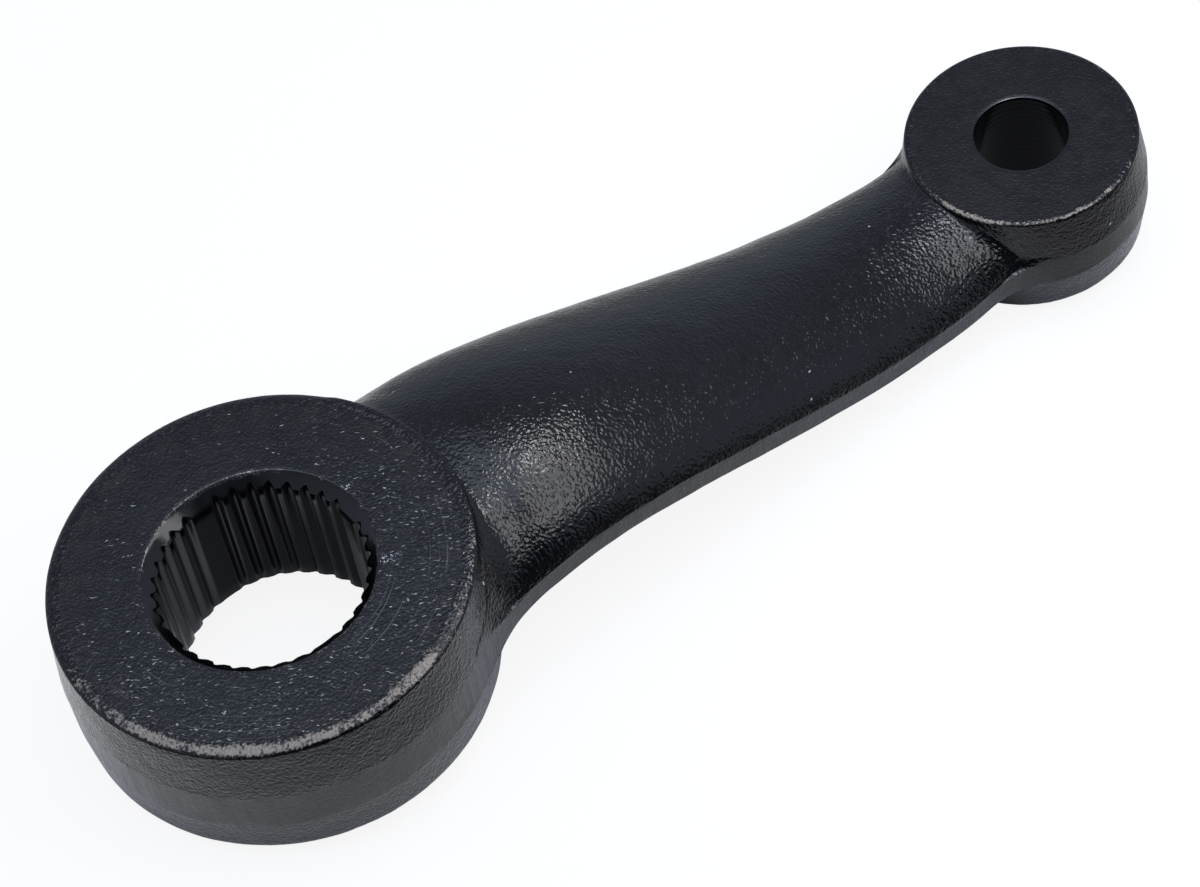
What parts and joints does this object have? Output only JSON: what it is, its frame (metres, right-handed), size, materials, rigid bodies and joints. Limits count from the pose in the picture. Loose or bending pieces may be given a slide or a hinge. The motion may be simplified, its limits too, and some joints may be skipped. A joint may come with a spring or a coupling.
{
  "type": "pitman arm",
  "caption": "Dropped steering pitman arm, forged in one piece: a thick boss with a serrated bore, an S-shaped arm and a smaller boss with a tapered ball stud hole.",
  "frame": {"origin": "on the axis of the serrated bore, at mid thickness of its boss", "axes": "+Z along the serrated bore towards the steering gear, +X along the arm towards the ball stud eye"},
  "size_m": [0.1983, 0.0648, 0.0466],
  "materials": {
    "black_paint": "satin black paint over forged steel, worn bright along the rims"
  },
  "bodies": {
    "root": {"pitman_arm": "black_paint"}
  },
  "joints": []
}
